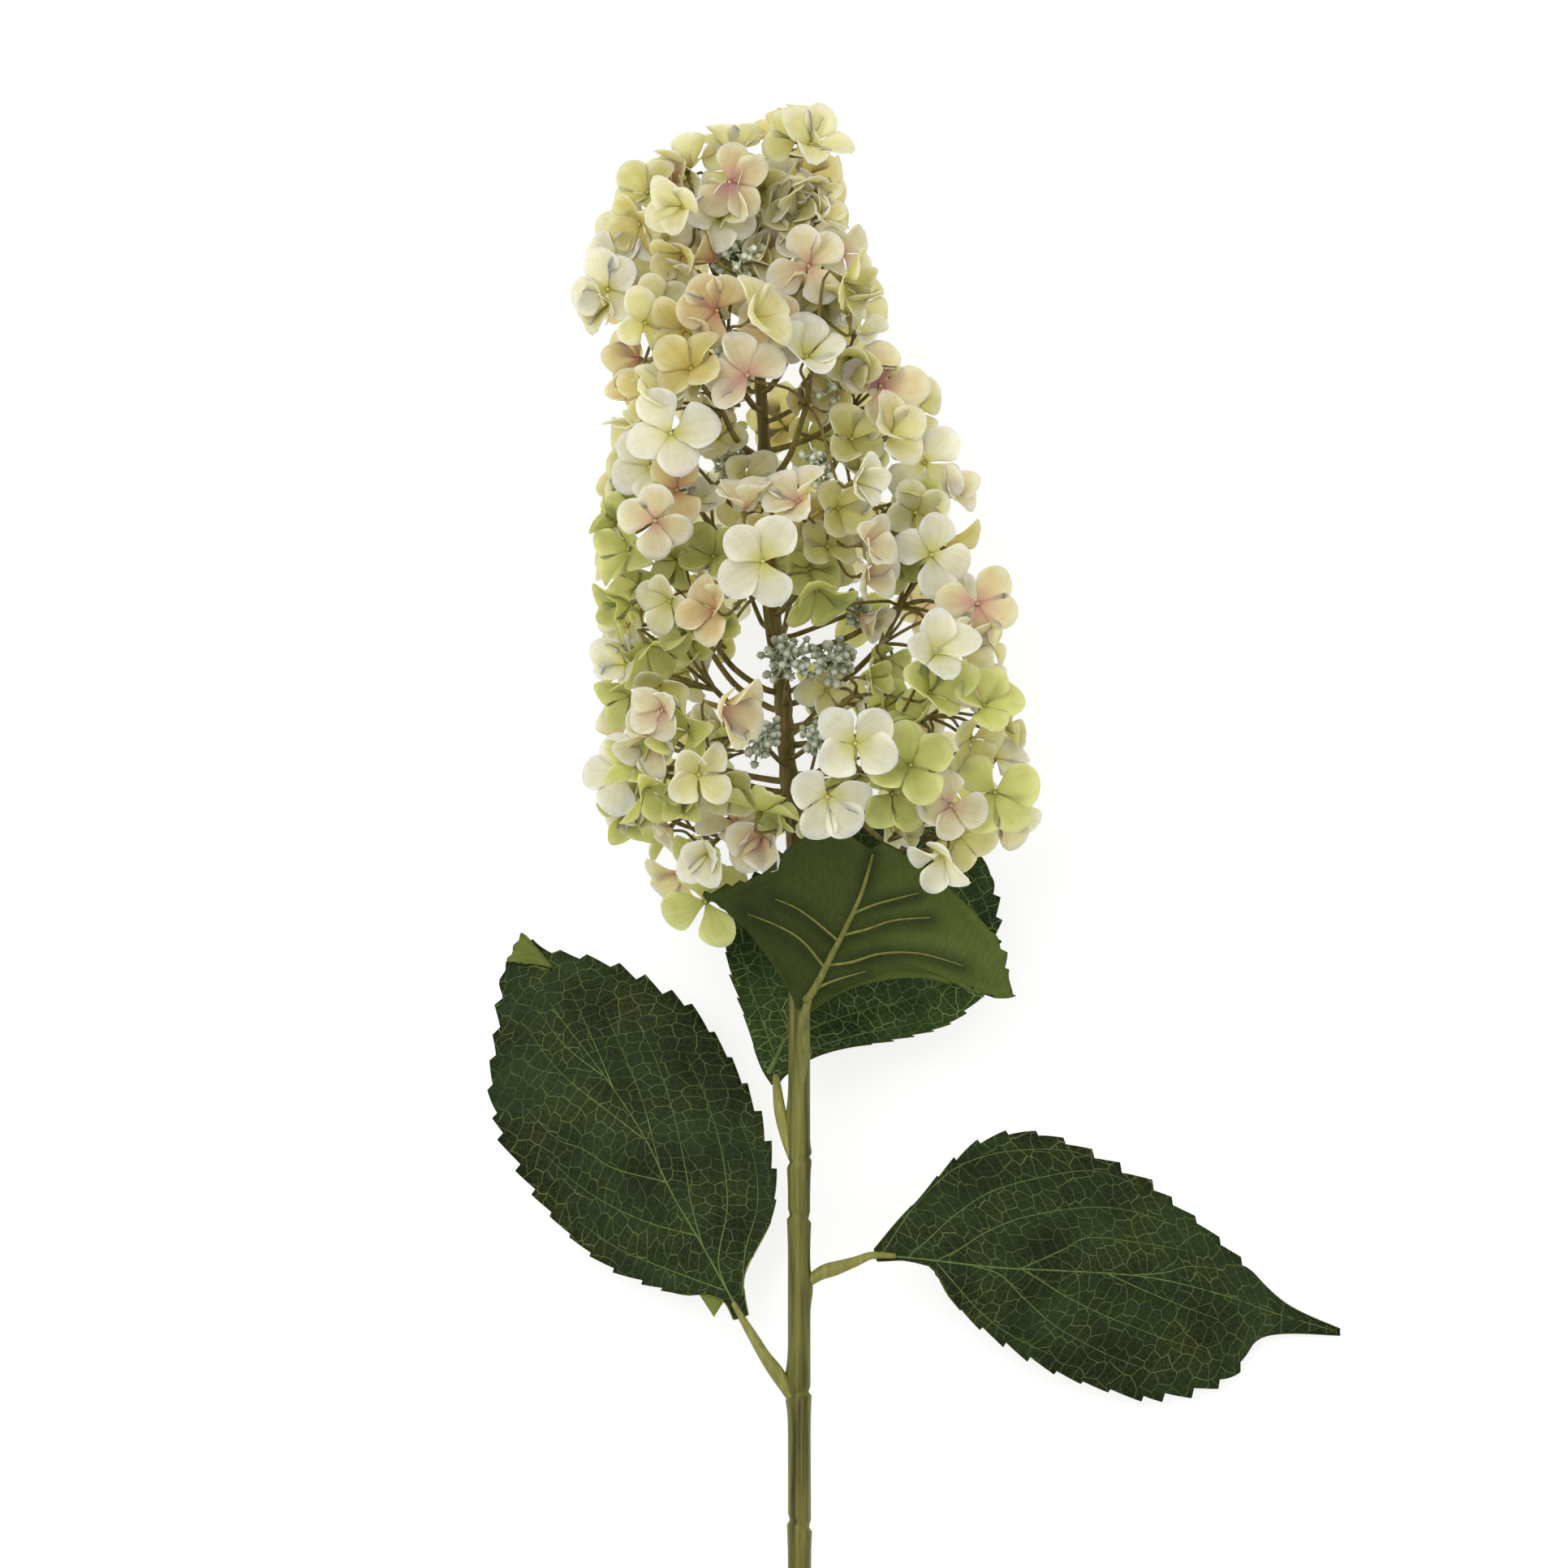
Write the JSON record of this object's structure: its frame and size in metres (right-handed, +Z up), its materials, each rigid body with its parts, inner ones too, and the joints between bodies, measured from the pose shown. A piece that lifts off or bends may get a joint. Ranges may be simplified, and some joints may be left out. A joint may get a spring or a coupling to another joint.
{
  "type": "cut hydrangea",
  "caption": "Cut panicle hydrangea lying down: a jointed stem with serrated leaves and a cone of four-petalled cream and lime florets with bud clusters.",
  "frame": {"origin": "middle of the underside of the whole flower's box, on the surface it lies on", "axes": "+Y along the stem from its cut end towards the tip of the head, +X to the right of it seen from above, +Z up"},
  "size_m": [0.285, 0.5978, 0.1579],
  "materials": {
    "stem_green": "matte moulded",
    "stalk_brown": "matte moulded",
    "leaf_green": "matte printed cloth",
    "leaf_underside": "matte cloth",
    "petal_fabric": "matte dyed cloth",
    "bud_sage": "matte moulded"
  },
  "bodies": {
    "root": {"stem": "stem_green", "head_axis": "stalk_brown", "leaf_left": "leaf_green", "leaf_stalk_left": "stem_green", "leaf_right": "leaf_green", "leaf_stalk_right": "stem_green", "leaf_front": "leaf_underside", "leaf_stalk_front": "stem_green", "leaf_back": "leaf_green", "leaf_stalk_back": "stem_green", "spray_01": "petal_fabric", "spray_02": "petal_fabric", "spray_03": "petal_fabric", "spray_04": "petal_fabric", "spray_05": "petal_fabric", "spray_06": "petal_fabric", "spray_07": "petal_fabric", "spray_08": "petal_fabric", "spray_09": "petal_fabric", "spray_10": "petal_fabric", "spray_11": "petal_fabric", "spray_12": "petal_fabric", "spray_13": "petal_fabric", "spray_14": "petal_fabric", "spray_15": "petal_fabric", "spray_16": "petal_fabric", "spray_17": "petal_fabric", "spray_18": "petal_fabric", "spray_19": "petal_fabric", "spray_20": "petal_fabric", "spray_21": "petal_fabric", "spray_22": "petal_fabric", "spray_23": "petal_fabric", "spray_24": "petal_fabric", "spray_25": "petal_fabric", "spray_26": "petal_fabric", "spray_27": "petal_fabric", "spray_28": "petal_fabric", "spray_29": "petal_fabric", "spray_30": "petal_fabric", "spray_31": "petal_fabric", "spray_32": "petal_fabric", "spray_33": "petal_fabric", "spray_34": "petal_fabric", "spray_35": "petal_fabric", "bud_cluster_01": "bud_sage", "bud_cluster_02": "bud_sage", "bud_cluster_03": "bud_sage", "bud_cluster_04": "bud_sage", "bud_cluster_05": "bud_sage", "bud_cluster_06": "bud_sage", "bud_cluster_07": "bud_sage", "bud_cluster_08": "bud_sage", "bud_cluster_09": "bud_sage", "bud_cluster_10": "bud_sage", "bud_cluster_11": "bud_sage", "bud_cluster_12": "bud_sage"}
  },
  "joints": []
}
